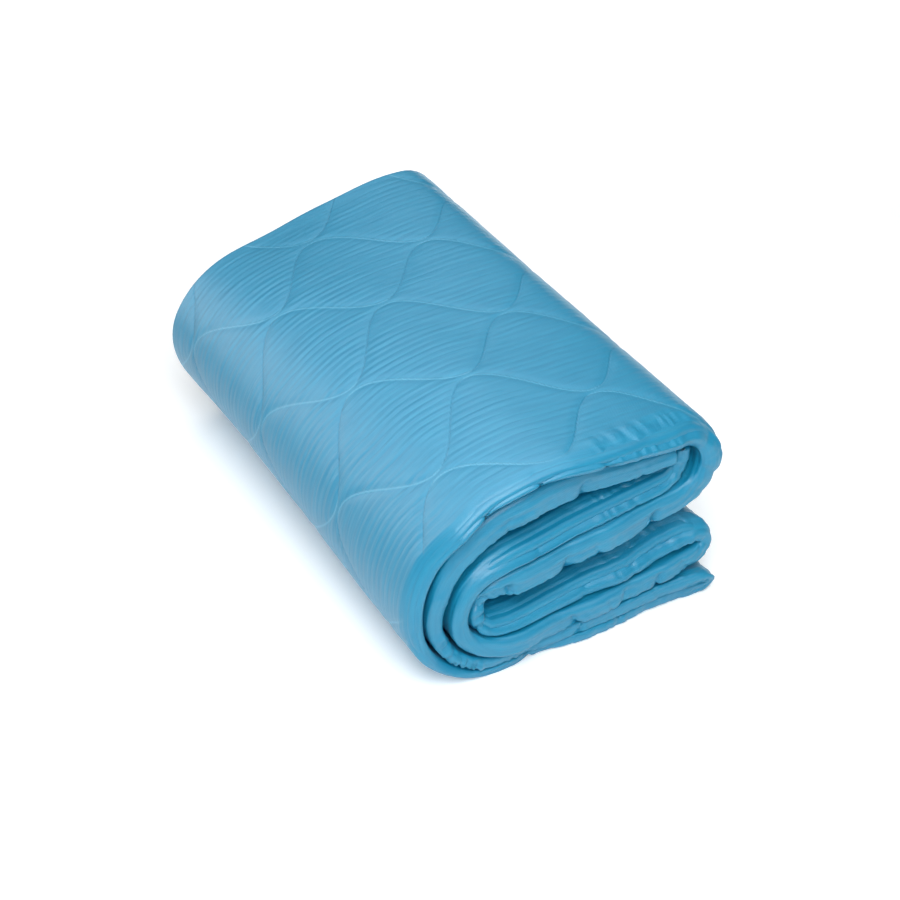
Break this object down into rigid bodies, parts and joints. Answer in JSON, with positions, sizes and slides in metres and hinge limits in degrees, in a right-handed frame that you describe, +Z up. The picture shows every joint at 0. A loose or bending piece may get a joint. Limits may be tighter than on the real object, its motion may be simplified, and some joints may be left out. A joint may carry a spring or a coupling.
{
  "type": "quilted bedspread",
  "caption": "Quilted bedspread folded lengthwise and then over and over into a soft stack, with ogee quilting on its ribbed satin face and rounded folds at its ends.",
  "frame": {"origin": "on the surface it lies on, under the middle of the folded stack", "axes": "+X across the stack from the wrapped side to the folded side, +Y along the long folds from the shown end to the far end, +Z up"},
  "size_m": [0.288, 0.4632, 0.1865],
  "materials": {
    "ribbed_satin": "ribbed polyester satin with a soft sheen"
  },
  "bodies": {
    "root": {"quilted_cloth": "ribbed_satin"}
  },
  "joints": []
}
